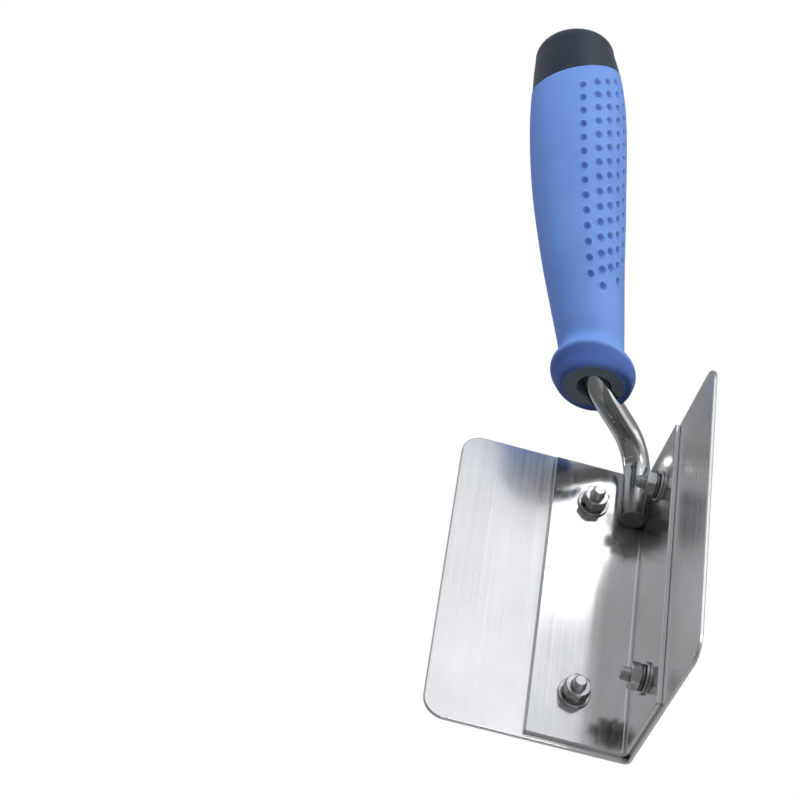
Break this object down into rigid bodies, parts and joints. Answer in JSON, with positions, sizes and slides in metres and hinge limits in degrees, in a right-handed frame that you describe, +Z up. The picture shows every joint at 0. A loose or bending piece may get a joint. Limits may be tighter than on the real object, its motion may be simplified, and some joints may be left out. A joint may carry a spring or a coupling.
{
  "type": "inside corner trowel",
  "caption": "Inside corner trowel: right-angled steel blade bolted to an angle bracket, bent tang and two-colour soft-grip handle.",
  "frame": {"origin": "middle of the blade's sheet at the bend, on its lower edge: the end of the tool's corner line", "axes": "+Z up along the bend towards the handle, +Y into the wall corner, away from the user, X across the two legs"},
  "size_m": [0.0848, 0.0844, 0.2339],
  "materials": {
    "blade_steel": "fine brushed stainless sheet, lines along the bend",
    "bracket_steel": "bright rolled stainless sheet with handling scratches",
    "tang_steel": "polished stainless bar, heat tinted at the welds",
    "weld": "dark rippled weld bead",
    "core_plastic": "moulded charcoal plastic",
    "grip_rubber": "satin blue soft grip with a field of dimples",
    "cap_plastic": "smooth semi-gloss charcoal plastic",
    "fastener_steel": "bright plated steel",
    "washer_steel": "bright stamped washer",
    "spring_steel": "darker spring steel"
  },
  "bodies": {
    "root": {"blade": "blade_steel", "bracket": "bracket_steel", "tang": "tang_steel", "weld_left": "weld", "weld_right": "weld", "handle_core": "core_plastic", "grip": "grip_rubber", "end_cap": "cap_plastic", "screw_left_upper": "fastener_steel", "screw_left_lower": "fastener_steel", "screw_right_upper": "fastener_steel", "screw_right_lower": "fastener_steel", "flat_washer_left_upper": "washer_steel", "flat_washer_left_lower": "washer_steel", "flat_washer_right_upper": "washer_steel", "flat_washer_right_lower": "washer_steel", "spring_washer_left_upper": "spring_steel", "spring_washer_left_lower": "spring_steel", "spring_washer_right_upper": "spring_steel", "spring_washer_right_lower": "spring_steel", "nut_left_upper": "fastener_steel", "nut_left_lower": "fastener_steel", "nut_right_upper": "fastener_steel", "nut_right_lower": "fastener_steel"}
  },
  "joints": []
}
